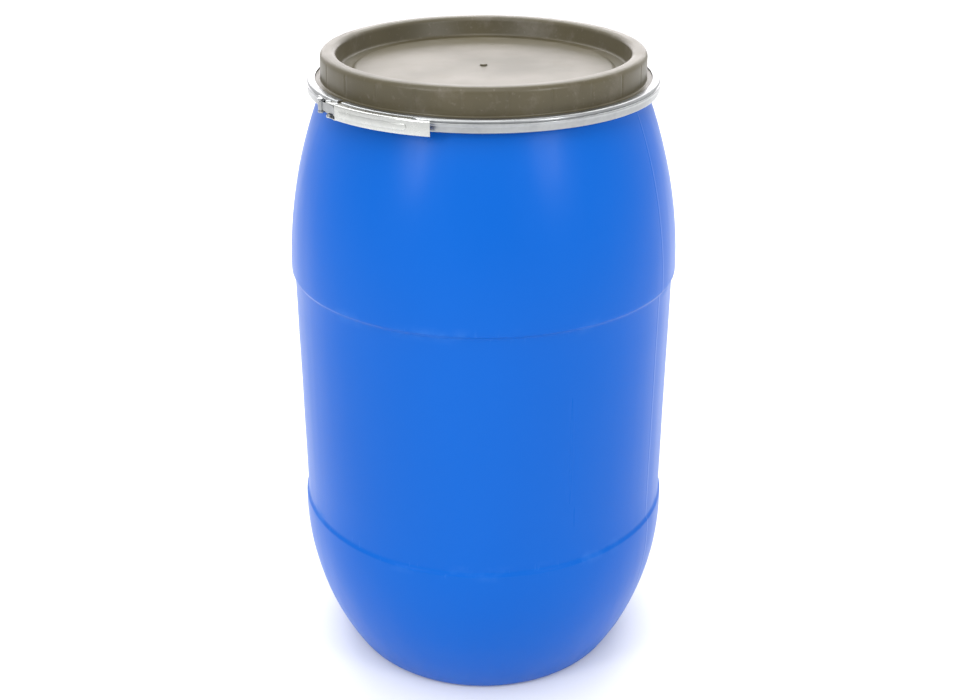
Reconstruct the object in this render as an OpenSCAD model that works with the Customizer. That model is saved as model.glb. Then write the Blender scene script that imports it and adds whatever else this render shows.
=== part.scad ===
// Open-top plastic drum with a lift-off lid and a lever-lock closing ring.
// z = 0 is the floor it stands on, +Z is up, -Y is the front, and the drum's axis is the Z axis.
// Angles round the drum are measured from the front, positive towards +X.

/* [Barrel] */
// Diameter of the widest ring, just above the upper step
belly_d = 590; // [490:1:710]
// Height from the floor to the top of the barrel's rim
barrel_h = 936; // [780:1:1125]
// Height of the shoulder, from the upper step up to the top of the rim
shoulder_h = 284; // [240:1:340]
// Height of the lower step above the floor
lower_step_z = 265.5; // [220:0.5:320]
// How far the middle of the barrel sits in from the upper step
upper_step = 4.7; // [2:0.1:8]
// How far the foot of the barrel stands out from the middle at the lower step
lower_step = 3.9; // [2:0.1:6]
// Radius of the long curve that draws the foot in
foot_curve_r = 451; // [400:1:600]
// Height of the widest point of the foot's curve
foot_curve_z = 241.7; // [200:0.1:260]
// Radius of the corner between the foot and the floor
corner_r = 20; // [12:1:30]
// Wall thickness of the blow-moulded barrel
wall = 4; // [3:0.1:5]
// Height of the hollow under the base
base_hollow_h = 9; // [5:1:14]
// Width of the flat ring that the barrel stands on
base_ring_w = 28; // [18:1:40]

/* [Mouth and rim] */
// Diameter of the mouth
mouth_d = 460; // [380:1:470]
// Outer radius of the neck above the shoulder, beyond the mouth
neck_w = 8; // [7:0.5:12]
// How far the rim stands out beyond the mouth
rim_w = 20; // [18:0.5:26]
// Thickness of the rim at its outer edge
rim_edge_h = 9.4; // [8:0.1:11]
// Slope of the rim's underside, which the ring pulls against
rim_slope = 18; // [10:1:25]

/* [Lid] */
// Thickness of the lid's moulded wall
lid_wall = 3.2; // [2.4:0.1:4]
// Gap between the lid's plug and the mouth
plug_clear = 0.6; // [0.3:0.1:1.2]
// Depth of the plug below the lid's flange
plug_h = 22; // [14:1:32]
// Height of the lid's raised rim above its flange
lid_rim_h = 38.5; // [30:0.5:48]
// How far the outer face of the raised rim stands beyond the mouth
lid_rim_out_w = 6.7; // [6:0.1:8]
// Width of the lid's raised rim
lid_rim_w = 23.7; // [20:0.1:30]
// Rounding along both edges of the raised rim
lid_rim_r = 8; // [5:0.5:9.5]
// Depth of the sunk panel below the top of the raised rim
panel_depth = 28.8; // [18:0.1:34]
// Height of the raised disc in the middle of the panel
disc_h = 2.5; // [1:0.1:4]
// Width of the flat ring round the raised disc
disc_border = 19; // [10:0.5:40]
// Number of stiffening gussets inside the raised rim
gussets = 24; // [12:1:36]
// Thickness of the gussets
gusset_t = 2; // [1.2:0.1:3]

/* [Gasket] */
// Width of the gasket's ring
gasket_w = 10; // [6:0.5:12]
// Height of the gasket between the rim and the lid's flange
gasket_h = 3.3; // [2:0.1:5]

/* [Closing ring] */
// Sheet thickness of the ring
ring_t = 1.3; // [1:0.1:1.6]
// Gap between the ring and what it clamps
ring_clear = 0.3; // [0.2:0.05:0.6]
// Space between the rim's edge and the inside of the ring
ring_side_gap = 5; // [3:0.1:7]
// Width of the ring's top flange
ring_top_w = 12.5; // [8:0.1:18.5]
// How far the ring's lower hook reaches in under the rim
hook_reach = 7; // [4:0.1:9]
// How far the bead stands out from the ring
bead_h = 0.9; // [0.4:0.1:1.2]
// Angle round the drum at which the ring is split
split_at = -52; // [-80:1:-30]
// Gap between the ring's ends when it is closed
split_gap = 10; // [6:1:14]

/* [Toggle lever] */
// Gap between the link's eye and the bracket's plate behind it, which sets how far out the pivots are
eye_clear = 0.25; // [0.25:0.05:2.35]
// Distance from the lever's pivot to the link's pivot on it
arm = 16; // [12:1:20]
// Distance from the lever's pivot to the anchor's pivot, closed
reach = 24; // [20:1:30]
// Length of the lever from its pivot, round the ring
lever_l = 172; // [120:1:220]
// Length of the flat finger tab at the lever's end
tab_l = 26; // [15:1:40]
// Height of the lever's channel
lever_h = 21.7; // [20:0.1:26]
// Sheet thickness of the lever, its brackets and its link
lever_t = 1.5; // [1.2:0.1:1.8]
// Diameter of the rivets that the toggle turns on
pivot_d = 5; // [4:0.1:5]
// Diameter of the rivets that hold the brackets to the ring
rivet_d = 4; // [3:0.1:5]
// Gap round a rivet in its hole
pin_clear = 0.05; // [0.02:0.01:0.1]
// Gap between flat sheets that turn on each other
sheet_gap = 0.1; // [0.1:0.05:0.3]

/* [Hidden] */
$fn = 96;

BLUE = [0.06, 0.42, 0.86];
OLIVE = [0.42, 0.39, 0.31];
RUBBER = [0.12, 0.12, 0.12];
ZINC = [0.78, 0.79, 0.80];

// Barrel radii and heights
belly_r = belly_d / 2;
waist_r = belly_r - upper_step;
foot_r = waist_r + lower_step;
step_h = 5;
upper_step_z = barrel_h - shoulder_h;
foot_centre = [foot_r - foot_curve_r, foot_curve_z];
mouth_r = mouth_d / 2;
neck_r = mouth_r + neck_w;
rim_r = mouth_r + rim_w;
rim_under_z = barrel_h - rim_edge_h;
neck_z = rim_under_z - (rim_r - neck_r) * tan(rim_slope);

// Shoulder: an arc that leaves the belly upright and ends where the neck begins
shoulder_start = 7;
shoulder_foot_z = upper_step_z - shoulder_start;
shoulder_rise = neck_z - shoulder_foot_z;
shoulder_drop = belly_r - neck_r;
shoulder_r = (pow(shoulder_rise, 2) + pow(shoulder_drop, 2)) / (2 * shoulder_drop);
shoulder_centre = [belly_r - shoulder_r, shoulder_foot_z];

// Lid heights and radii
flange_under_z = barrel_h + gasket_h;
flange_z = flange_under_z + lid_wall;
crest_z = flange_z + lid_rim_h;
panel_z = crest_z - panel_depth;
flange_r = rim_r + 1;
plug_r = mouth_r - plug_clear;
lid_rim_out = mouth_r + lid_rim_out_w;
lid_rim_in = lid_rim_out - lid_rim_w;
draft = 0.7;
panel_fillet = 4;
panel_r = lid_rim_in - 3;
plug_lead_in = 3;
nub_r = 5;
nub_h = 2.2;
disc_r = panel_r - disc_border;

// Ring: the faces of its web, flange and hook
ring_in_r = rim_r + ring_side_gap;
ring_web_r = ring_in_r + ring_t;
bead_r = ring_web_r + bead_h;
ring_top_z = flange_z + ring_clear + ring_t;
ring_back_at = split_at + 180;
bead_top_z = ring_top_z - 5;
bead_low_z = bead_top_z - 2.2;
bead_slope_h = 1.7;

// Toggle: pivot radius, angles round the drum and levels of the nested sheets. A bracket's plate lies
// on the ring's bead, and the link's eye turns just clear of it.
pivot_hole_r = pivot_d / 2 + pin_clear;
eye_r = pivot_hole_r + lever_t;
pivot_out = sheet_gap + lever_t + eye_clear + eye_r;
pivot_r = bead_r + pivot_out;
lever_out_r = pivot_r + pivot_out - sheet_gap;
lever_mid_z = ring_top_z - lever_h / 2;
function turn(length) = length / pivot_r * 180 / PI;
fulcrum_at = split_at - turn(2);
link_at = fulcrum_at + turn(arm);
anchor_at = fulcrum_at - turn(reach);
tip_at = fulcrum_at + turn(lever_l);
tab_at = tip_at - turn(tab_l);
bracket_h = lever_h - 2 * lever_t - 2 * sheet_gap;
head_h = 1.4;
link_h = bracket_h - 2 * lever_t - 2 * head_h - 1;
bracket_in_r = bead_r + sheet_gap;
flange_in_r = bead_r + 1.1;
ear_r = pivot_out - 1.1;
ear_foot_w = ear_r * 1.5;
ear_web_w = 2.2;

// Fixing rivets: distances from the pivots, and how far the brackets reach beyond them
first_fixing = 11;
fixing_pitch = 12;
bracket_end = 6;
fulcrum_fixings = [link_at + turn(first_fixing), link_at + turn(first_fixing + fixing_pitch)];
anchor_fixings = [anchor_at - turn(first_fixing), anchor_at + turn(first_fixing)];

// ---- Shapes shared by the parts ----

// Points along an arc from angle a0 to a1, in n steps
function arc(c, r, a0, a1, n) =
    [for (i = [0:n]) let (a = a0 + (a1 - a0) * i / n) c + r * [cos(a), sin(a)]];

function unit(v) = v / norm(v);
function left_of(a, b) = let (d = unit(b - a)) [-d[1], d[0]];
function last(list) = len(list) - 1;
function back(list) = [for (i = [last(list):-1:0]) list[i]];

// Mitred direction at point i of an outline, pointing to its left
function mitre(p, i) =
    i == 0 ? left_of(p[0], p[1]) :
    i == last(p) ? left_of(p[i - 1], p[i]) :
    let (m = left_of(p[i - 1], p[i]) + left_of(p[i], p[i + 1])) 2 * m / (m * m);

// The same outline moved to its left by t
function beside(p, t) = [for (i = [0:last(p)]) p[i] + t * mitre(p, i)];

// A point at radius r and angle a round the drum, seen from above
function polar(r, a) = [r * sin(a), -r * cos(a)];

// Turns a half section into a part of a ring, from angle a0 to a1
module swept(a0, a1) {
    rotate_extrude(angle = a1 - a0, start = a0 - 90, $fn = 180) children();
}

// Flat piece of a ring between two radii and two angles
module flat_arc(r0, r1, a0, a1) {
    middle = (a0 + a1) / 2;
    far = r1 * 1.2;
    intersection() {
        difference() {
            circle(r1, $fn = 180);
            circle(r0, $fn = 180);
        }
        polygon([[0, 0], polar(far, a0), polar(far, middle), polar(far, a1)]);
    }
}

// Upright piece of a ring, from height z0 to z1
module wall_arc(r0, r1, a0, a1, z0, z1) {
    translate([0, 0, z0]) linear_extrude(z1 - z0) flat_arc(r0, r1, a0, a1);
}

// Puts what follows at radius r and angle a, pointing outwards
module facing_out(r, a, z) {
    rotate([0, 0, a]) translate([0, -r, z]) rotate([90, 0, 0]) children();
}

// Puts what follows at radius r and angle a, upright
module upright(r, a, z) {
    spot = polar(r, a);
    translate([spot[0], spot[1], z]) children();
}

// Rivet head: a low button with its flat side on z = 0
module rivet_head(shank_d) {
    half = head_h / 2;
    edge_r = shank_d * 0.85;
    cylinder(h = half, r = edge_r, $fn = 48);
    translate([0, 0, half]) cylinder(h = half, r1 = edge_r, r2 = shank_d * 0.5, $fn = 48);
}

// ---- Barrel ----

// Outer face of the barrel, from the middle of its base up to its neck
function barrel_outline() =
    let (
        reach_in = foot_curve_r - corner_r,
        corner_x = foot_centre[0] + sqrt(pow(reach_in, 2) - pow(foot_curve_z - corner_r, 2)),
        corner = [corner_x, corner_r],
        tangent = atan2(corner_r - foot_curve_z, corner_x - foot_centre[0]),
        foot_top = asin((lower_step_z - step_h / 2 - foot_curve_z) / foot_curve_r),
        dome_low = asin((upper_step_z + step_h / 2 - shoulder_foot_z) / shoulder_r),
        dome_high = asin(shoulder_rise / shoulder_r),
        ring_in = corner_x - base_ring_w
    )
    concat(
        [[0, base_hollow_h], [ring_in - base_hollow_h, base_hollow_h], [ring_in, 0]],
        arc(corner, corner_r, -90, tangent, 6),
        arc(foot_centre, foot_curve_r, tangent + 2.5, foot_top, 12),
        [[waist_r, lower_step_z + step_h / 2], [waist_r, upper_step_z - step_h / 2]],
        arc(shoulder_centre, shoulder_r, dome_low, dome_high, 12)
    );

// Rim: a flat top for the gasket and a sloped underside for the ring's hook
function rim_outline() = [
    [rim_r, rim_under_z], [rim_r, barrel_h - 1], [rim_r - 1, barrel_h],
    [mouth_r + 1, barrel_h], [mouth_r, barrel_h - 1], [mouth_r, neck_z - 8]
];

module barrel_body() {
    outside = barrel_outline();
    color(BLUE) rotate_extrude($fn = 180)
        polygon(concat(outside, rim_outline(), back(beside(outside, wall))));
}

// ---- Lid and gasket ----

// Upper face of the lid, from its middle out to the foot of its raised rim
function lid_outline() =
    concat(
        [[0, panel_z + disc_h], [disc_r - 2 * disc_h, panel_z + disc_h], [disc_r, panel_z]],
        arc([panel_r - panel_fillet, panel_z + panel_fillet], panel_fillet, -90, -10, 4),
        arc([lid_rim_in + lid_rim_r, crest_z - lid_rim_r], lid_rim_r, 170, 90, 6),
        arc([lid_rim_out - draft - lid_rim_r, crest_z - lid_rim_r], lid_rim_r, 90, 2, 6),
        [[lid_rim_out, flange_z]]
    );

// Flange over the gasket, then the plug that centres the lid in the mouth
function flange_outline() = [
    [flange_r, flange_z], [flange_r, flange_under_z],
    [plug_r, flange_under_z],
    [plug_r, flange_under_z - plug_h + plug_lead_in], [plug_r - 1, flange_under_z - plug_h],
    [plug_r - lid_wall, flange_under_z - plug_h], [plug_r - lid_wall, flange_z]
];

module gusset() {
    inner = lid_rim_in + lid_wall * 0.9;
    outer = lid_rim_out - lid_wall * 0.9;
    top = crest_z - lid_wall * 0.8;
    cut = lid_rim_r * 0.5;
    rotate([90, 0, 0]) translate([0, 0, -gusset_t / 2]) linear_extrude(gusset_t) polygon([
        [inner, panel_z], [inner, top - cut], [inner + cut * 0.7, top],
        [outer - cut * 0.7, top], [outer, top - cut], [outer, flange_z + 1]
    ]);
}

module lid() {
    top = lid_outline();
    under = beside(top, -lid_wall);
    color(OLIVE) union() {
        rotate_extrude($fn = 180) polygon(concat(top, flange_outline(), back(under)));
        for (i = [0:gussets - 1]) rotate([0, 0, (i + 0.5) * 360 / gussets]) gusset();
        // Gate mark left by the moulding: a short nub in the middle of the panel
        translate([0, 0, panel_z + disc_h - 1])
            cylinder(h = nub_h + 1, r1 = nub_r, r2 = nub_r - 1, $fn = 48);
    }
}

module lid_gasket() {
    inner = (mouth_r + rim_r - gasket_w) / 2 + 1;
    color(RUBBER) rotate_extrude($fn = 180)
        translate([inner, barrel_h + sheet_gap]) square([gasket_w, gasket_h - sheet_gap]);
}

// ---- Closing ring ----

// Outer face of the ring's rolled section, from its top flange down to its hook
function ring_outline() =
    let (
        slope = tan(rim_slope),
        bend = 2.2,
        foot_z = rim_under_z + (ring_web_r - rim_r) * slope - ring_clear - 1.4 * ring_t,
        hook_r = rim_r - hook_reach
    )
    concat(
        [[ring_web_r - ring_top_w + bead_h, ring_top_z]],
        arc([ring_web_r - bend, ring_top_z - bend], bend, 90, 10, 4),
        [[ring_web_r - 0.4, bead_top_z + bead_slope_h], [bead_r, bead_top_z]],
        [[bead_r, bead_low_z], [ring_web_r, bead_low_z - bead_slope_h], [ring_web_r, foot_z + 1.2]],
        [[ring_web_r - 1, foot_z - 0.3], [hook_r, foot_z - (ring_web_r - hook_r) * slope]]
    );

module ring_section() {
    outside = ring_outline();
    polygon(concat(outside, back(beside(outside, -ring_t))));
}

// Holes through the ring's web for the rivets of a bracket
module fixing_holes(angles) {
    for (a = angles) facing_out(ring_in_r - 4, a, lever_mid_z)
        cylinder(h = 14, r = rivet_d / 2 + pin_clear, $fn = 48);
}

// The band is one springy strip. Its two halves meet at the back, where it flexes.
module ring_band_right() {
    color(ZINC) difference() {
        swept(split_at + turn(split_gap / 2), ring_back_at - 0.05) ring_section();
        fixing_holes(fulcrum_fixings);
    }
}

module ring_band_left() {
    color(ZINC) difference() {
        swept(ring_back_at - 360 + 0.05, split_at - turn(split_gap / 2)) ring_section();
        fixing_holes(anchor_fixings);
    }
}

// ---- Brackets ----

// Plate against the ring, as tall as the gap between the lever's flanges
module bracket_plate(a0, a1) {
    wall_arc(bracket_in_r, bracket_in_r + lever_t, a0, a1,
        lever_mid_z - bracket_h / 2, lever_mid_z + bracket_h / 2);
}

// Two level ears, drawn once from above
module ears() {
    for (z = [lever_mid_z - bracket_h / 2, lever_mid_z + bracket_h / 2 - lever_t])
        translate([0, 0, z]) linear_extrude(lever_t) children();
}

module pivot_hole(a, height) {
    upright(pivot_r, a, lever_mid_z - height / 2) cylinder(h = height, r = pivot_hole_r, $fn = 64);
}

module fulcrum_bracket() {
    start = split_at + turn(split_gap / 2) + turn(1);
    end = link_at + turn(first_fixing + fixing_pitch + bracket_end);
    inner = bead_r + ring_clear;
    color(ZINC) difference() {
        union() {
            bracket_plate(start, end);
            ears() union() {
                translate(polar(pivot_r, fulcrum_at)) circle(ear_r, $fn = 64);
                flat_arc(inner, pivot_r, fulcrum_at, fulcrum_at + turn(8));
                flat_arc(inner, inner + ear_web_w, fulcrum_at, end);
            }
        }
        pivot_hole(fulcrum_at, lever_h);
        fixing_holes(fulcrum_fixings);
    }
}

module anchor_bracket() {
    half = turn(first_fixing + bracket_end);
    inner = bead_r + ring_clear;
    foot = turn(ear_foot_w / 2);
    color(ZINC) difference() {
        union() {
            bracket_plate(anchor_at - half, anchor_at + half);
            ears() union() {
                translate(polar(pivot_r, anchor_at)) circle(ear_r, $fn = 64);
                flat_arc(inner, pivot_r, anchor_at - foot, anchor_at + foot);
                flat_arc(inner, inner + ear_web_w, anchor_at - half + 0.05, anchor_at + half - 0.05);
            }
        }
        fixing_holes(anchor_fixings);
    }
}

// Rivets through a bracket's plate and the ring's web. The tail's flat face meets the web's
// hollow inner face along its edge.
module bracket_rivet(a) {
    tail_r = rivet_d * 0.75;
    seat = sqrt(pow(ring_in_r, 2) - pow(tail_r, 2));
    grip = bracket_in_r + lever_t - seat;
    facing_out(seat, a, lever_mid_z) union() {
        cylinder(h = grip, r = rivet_d / 2, $fn = 48);
        translate([0, 0, grip]) rivet_head(rivet_d);
        mirror([0, 0, 1]) cylinder(h = 1, r = tail_r, $fn = 48);
    }
}

module fulcrum_bracket_rivets() {
    color(ZINC) for (a = fulcrum_fixings) bracket_rivet(a);
}

module anchor_bracket_rivets() {
    color(ZINC) for (a = anchor_fixings) bracket_rivet(a);
}

// ---- Lever ----

// Rib pressed outwards along the middle of the lever's web
module lever_rib(a0, a1) {
    half_h = lever_h * 0.2;
    rib_out = 1.1;
    wall_arc(lever_out_r - lever_t / 2, lever_out_r + rib_out, a0, a1,
        lever_mid_z - half_h, lever_mid_z + half_h);
}

module lever() {
    web_from = link_at + turn(4);
    low = lever_mid_z - lever_h / 2;
    high = lever_mid_z + lever_h / 2;
    color(ZINC) difference() {
        union() {
            wall_arc(lever_out_r - lever_t, lever_out_r, web_from, tip_at, low, high);
            for (z = [low, high - lever_t]) translate([0, 0, z]) linear_extrude(lever_t) union() {
                translate(polar(pivot_r, fulcrum_at)) circle(ear_r, $fn = 64);
                flat_arc(flange_in_r, lever_out_r - lever_t / 2, fulcrum_at, tab_at);
            }
            lever_rib(web_from + turn(8), tab_at - turn(8));
        }
        pivot_hole(fulcrum_at, lever_h + 2);
        pivot_hole(link_at, lever_h + 2);
    }
}

// Short rivets at the fulcrum, one above and one below, so that the link passes between them
module fulcrum_rivets() {
    grip = 2 * lever_t + 2 * sheet_gap;
    color(ZINC) for (side = [0, 1]) upright(pivot_r, fulcrum_at, lever_mid_z) mirror([0, 0, side])
        translate([0, 0, bracket_h / 2 - lever_t]) union() {
            cylinder(h = grip, r = pivot_d / 2, $fn = 64);
            translate([0, 0, grip]) rivet_head(pivot_d);
            mirror([0, 0, 1]) cylinder(h = head_h * 0.7, r = pivot_d * 0.75, $fn = 48);
        }
}

// ---- Link ----

// Steel strap with a rolled eye at each end, from the lever to the anchor
module link_strap() {
    ends = [polar(pivot_r, link_at), polar(pivot_r, anchor_at)];
    run = ends[1] - ends[0];
    length = norm(run);
    angle = atan2(run[1], run[0]);
    color(ZINC) translate([ends[0][0], ends[0][1], lever_mid_z - link_h / 2]) rotate([0, 0, angle])
        difference() {
            union() {
                for (x = [0, length]) translate([x, 0, 0]) cylinder(h = link_h, r = eye_r, $fn = 64);
                translate([0, -lever_t / 2, 0]) cube([length, lever_t, link_h]);
            }
            for (x = [0, length]) translate([x, 0, -1])
                cylinder(h = link_h + 2, r = pivot_hole_r, $fn = 64);
        }
}

module link_rivet() {
    color(ZINC) upright(pivot_r, link_at, lever_mid_z - lever_h / 2) union() {
        cylinder(h = lever_h, r = pivot_d / 2, $fn = 64);
        translate([0, 0, lever_h]) rivet_head(pivot_d);
        mirror([0, 0, 1]) rivet_head(pivot_d);
    }
}

// The anchor's pivot ends just short of the ears, because the model's link is open there
module anchor_pin() {
    length = bracket_h - 2 * lever_t - 2 * sheet_gap;
    color(ZINC) upright(pivot_r, anchor_at, lever_mid_z - length / 2)
        cylinder(h = length, r = pivot_d / 2, $fn = 64);
}

module anchor_rivet_heads() {
    color(ZINC) for (side = [0, 1]) upright(pivot_r, anchor_at, lever_mid_z) mirror([0, 0, side])
        translate([0, 0, bracket_h / 2]) rivet_head(pivot_d);
}

barrel_body();
lid();
lid_gasket();
ring_band_right();
ring_band_left();
fulcrum_bracket();
fulcrum_bracket_rivets();
anchor_bracket();
anchor_bracket_rivets();
lever();
fulcrum_rivets();
link_strap();
link_rivet();
anchor_pin();
anchor_rivet_heads();
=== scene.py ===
# %% [markdown]
# # A plastic drum with a lid and a lever-lock ring
#
# A wide-neck drum is three things on the bench: a blow-moulded barrel, an injection-moulded lid and a
# rolled steel ring whose lever pulls the lid down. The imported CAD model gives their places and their
# moving bodies. This notebook gives them their looks. The four big pieces are modelled afresh, with
# moulded radii, a parting line and rolled sheet edges. The small brackets, rivets and the link keep
# their CAD shape, which is already right, and get a proper metal.

# %% Load the frame
import math

import bpy
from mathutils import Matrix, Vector


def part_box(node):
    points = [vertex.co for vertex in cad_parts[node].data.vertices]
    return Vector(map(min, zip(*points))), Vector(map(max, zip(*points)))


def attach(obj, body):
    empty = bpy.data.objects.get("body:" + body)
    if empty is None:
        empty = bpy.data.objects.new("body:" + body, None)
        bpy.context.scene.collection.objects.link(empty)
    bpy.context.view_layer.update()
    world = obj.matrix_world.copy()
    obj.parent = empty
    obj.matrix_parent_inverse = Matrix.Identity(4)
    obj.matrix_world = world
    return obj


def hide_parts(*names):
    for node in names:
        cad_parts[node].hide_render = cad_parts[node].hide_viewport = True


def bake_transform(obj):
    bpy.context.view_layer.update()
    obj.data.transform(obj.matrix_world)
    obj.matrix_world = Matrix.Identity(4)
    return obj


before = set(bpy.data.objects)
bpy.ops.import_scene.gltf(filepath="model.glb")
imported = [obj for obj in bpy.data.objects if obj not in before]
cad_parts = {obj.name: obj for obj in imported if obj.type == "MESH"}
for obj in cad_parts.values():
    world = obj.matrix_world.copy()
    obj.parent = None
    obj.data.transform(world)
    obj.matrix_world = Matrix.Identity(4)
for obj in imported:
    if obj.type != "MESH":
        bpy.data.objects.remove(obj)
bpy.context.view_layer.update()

# %% [markdown]
# ## Helpers for modelling by operator
#
# Every new piece is modelled as by hand: a primitive is added, shaped in edit mode, finished with
# modifiers and then given its place, so that its object ends up at the origin, unturned. Loading leaves
# the CAD nodes selected, and an operator acts on all that is selected, so each step starts clean.

# %% Select nothing, and finish a piece
def select_none():
    bpy.ops.object.select_all(action="DESELECT")


def only(piece):
    """Makes piece the one that the next operator acts on."""
    select_none()
    piece.select_set(True)
    bpy.context.view_layer.objects.active = piece


def edit(piece, kind="VERT"):
    """Opens piece in edit mode, with nothing chosen. kind is VERT, EDGE or FACE."""
    only(piece)
    bpy.ops.object.mode_set(mode="EDIT")
    bpy.ops.mesh.select_mode(type=kind)
    bpy.ops.mesh.select_all(action="DESELECT")


def done():
    """Leaves edit mode."""
    bpy.ops.object.mode_set(mode="OBJECT")


def pick(piece, kind, wanted):
    """Opens piece in edit mode with the parts of that kind chosen that satisfy wanted(part), and
    returns how many they are."""
    edit(piece, kind)
    done()
    parts = {"VERT": piece.data.vertices, "EDGE": piece.data.edges, "FACE": piece.data.polygons}[kind]
    for part in parts:
        part.select = wanted(part)
    count = sum(part.select for part in parts)
    bpy.ops.object.mode_set(mode="EDIT")
    return count


def settle(piece, sharp=35):
    """Puts a piece's place into its mesh, and smooths all but its sharp edges."""
    only(piece)
    bpy.ops.object.transform_apply(location=True, rotation=True, scale=True)
    bpy.ops.object.shade_smooth_by_angle(angle=math.radians(sharp))
    print(piece.name, len(piece.data.polygons), "faces")
    return piece


def apply_modifier(piece, kind, **values):
    """Adds a modifier with these settings and applies it at once."""
    only(piece)
    modifier = piece.modifiers.new(kind.title(), kind)
    for name, value in values.items():
        setattr(modifier, name, value)
    bpy.ops.object.modifier_apply(modifier=modifier.name)


# %% Boxes and their edges
def block(x0, x1, y0, y1, z0, z1):
    """A box between corners, as a start for a cut or a plate."""
    select_none()
    bpy.ops.mesh.primitive_cube_add(size=1, location=((x0 + x1) / 2, (y0 + y1) / 2, (z0 + z1) / 2))
    made = bpy.context.object
    made.scale = (x1 - x0, y1 - y0, z1 - z0)
    bpy.ops.object.transform_apply(location=True, rotation=True, scale=True)
    return made


def bevel_edges(piece, wanted, offset, segments):
    """Bevels the edges whose two end points satisfy wanted(a, b)."""
    def chosen(edge):
        a, b = (piece.data.vertices[i].co for i in edge.vertices)
        return wanted(a, b)

    pick(piece, "EDGE", chosen)
    bpy.ops.mesh.bevel(offset=offset, segments=segments)
    done()


# %% [markdown]
# ## Drawing a half section and turning it
#
# The barrel, the lid and the ring are all round, so each is one half section spun about the drum's axis,
# like work on a lathe. A section is a few corner points. Each corner carries its own softness, the
# distance from the corner at which its bend begins, and becomes a short curve of a few points. That keeps
# an outline readable, and gives every moulded edge a radius that catches the light.

# %% Outline maths
def arc(centre, radius, a0, a1, steps):
    """Points on an arc in the half section, from angle a0 to a1 in degrees."""
    angles = [math.radians(a0 + (a1 - a0) * i / steps) for i in range(steps + 1)]
    return [(centre[0] + radius * math.cos(a), centre[1] + radius * math.sin(a), 0) for a in angles]


def soften(corners, steps=4, closed=False):
    """Replaces each corner (r, z, softness) by a small curve that starts softness away from it. The two
    end points of an open outline stay as they are."""
    points = []
    count = len(corners)
    for i, (r, z, soft) in enumerate(corners):
        here = Vector((r, z))
        at_end = not closed and i in (0, count - 1)
        if not soft or at_end:
            points.append(here)
            continue
        before = Vector(corners[i - 1][:2])
        after = Vector(corners[(i + 1) % count][:2])
        a = here + (before - here).normalized() * min(soft, (before - here).length / 2)
        b = here + (after - here).normalized() * min(soft, (after - here).length / 2)
        for k in range(steps + 1):
            t = k / steps
            points.append(a * (1 - t) ** 2 + here * 2 * t * (1 - t) + b * t ** 2)
    return points


# %% Spin a section
WELD = 1e-6


def turn_section(name, points, columns, sweep=360.0, start=0.0):
    """Draws points as a chain of edges in the XZ plane, closes it, and spins it about the drum's axis.
    sweep and start are in degrees round the drum, from the front towards +X. The chain grows from one
    point, which is a small plane merged at its centre."""
    select_none()
    first = points[0]
    bpy.ops.mesh.primitive_plane_add(size=0.01, location=(first.x, 0, first.y), enter_editmode=True)
    piece = bpy.context.object
    piece.name = piece.data.name = name
    bpy.ops.mesh.select_mode(type="VERT")
    bpy.ops.mesh.select_all(action="SELECT")
    bpy.ops.mesh.merge(type="CENTER")
    for a, b in zip(points, points[1:] + points[:1]):
        step = (b.x - a.x, 0, b.y - a.y)
        bpy.ops.mesh.extrude_region_move(TRANSFORM_OT_translate={"value": step})
    bpy.ops.mesh.select_all(action="SELECT")
    bpy.ops.mesh.remove_doubles(threshold=WELD)
    bpy.ops.mesh.spin(steps=columns, angle=math.radians(sweep), center=(0, 0, 0), axis=(0, 0, 1))
    bpy.ops.mesh.select_all(action="SELECT")
    bpy.ops.mesh.remove_doubles(threshold=WELD)
    bpy.ops.mesh.select_all(action="DESELECT")
    bpy.ops.mesh.select_non_manifold()
    bpy.ops.mesh.fill_holes(sides=0)
    bpy.ops.mesh.select_all(action="SELECT")
    bpy.ops.mesh.normals_make_consistent(inside=False)
    done()
    only(piece)
    bpy.ops.object.transform_apply(location=True, rotation=True, scale=True)
    piece.rotation_euler.z = math.radians(start - 90)
    bpy.ops.object.transform_apply(location=True, rotation=True, scale=True)
    return piece


def round_the_drum(radius, angle, z=0.0):
    """The point at radius and angle round the drum, where angle runs from the front towards +X."""
    a = math.radians(angle)
    return Vector((radius * math.sin(a), -radius * math.cos(a), z))


def angle_of(point):
    """The angle round the drum at which point lies."""
    return math.degrees(math.atan2(point.x, -point.y))


# %% [markdown]
# ## Camera
#
# The camera comes first, so that each piece can be judged from it. It stands at about eye height, two
# metres away, and looks down at the lid. A lens of nearly 50 mm keeps the foot of the drum visibly
# narrower than its shoulder, as the eye would see it.

# %% Camera
CAMERA_PLACE = (-0.0024, -1.914, 1.4095)
CAMERA_TILT = 64.48
CAMERA_LENS = 49.41
CAMERA_SENSOR = 36

select_none()
bpy.ops.object.camera_add(location=CAMERA_PLACE, rotation=(math.radians(CAMERA_TILT), 0, 0))
camera = bpy.context.object
camera.data.lens = CAMERA_LENS
camera.data.sensor_width = CAMERA_SENSOR
bpy.context.scene.camera = camera
print("camera at", [round(c, 3) for c in camera.location])

# %% [markdown]
# ## Floor and light
#
# The drum stands on a plain pale floor. The camera looks down, so the floor fills the whole background
# and has to be lit evenly a long way back. A soft sun does that, because its light doesn't fall off with
# distance. It stands high, so that it lights the wall without a hot streak on it. The room is bright
# behind the drum and dimmer behind the camera: the bright side lays a sheen over the lid's sunk panel and
# pales the edges of the wall, and the dim side keeps the front a deep blue. Two upright soft boxes in
# front make the two soft streaks on the shoulder.

# %% Floor
FLOOR_SIZE = 400
FLOOR_PALE = 0.9

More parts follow.
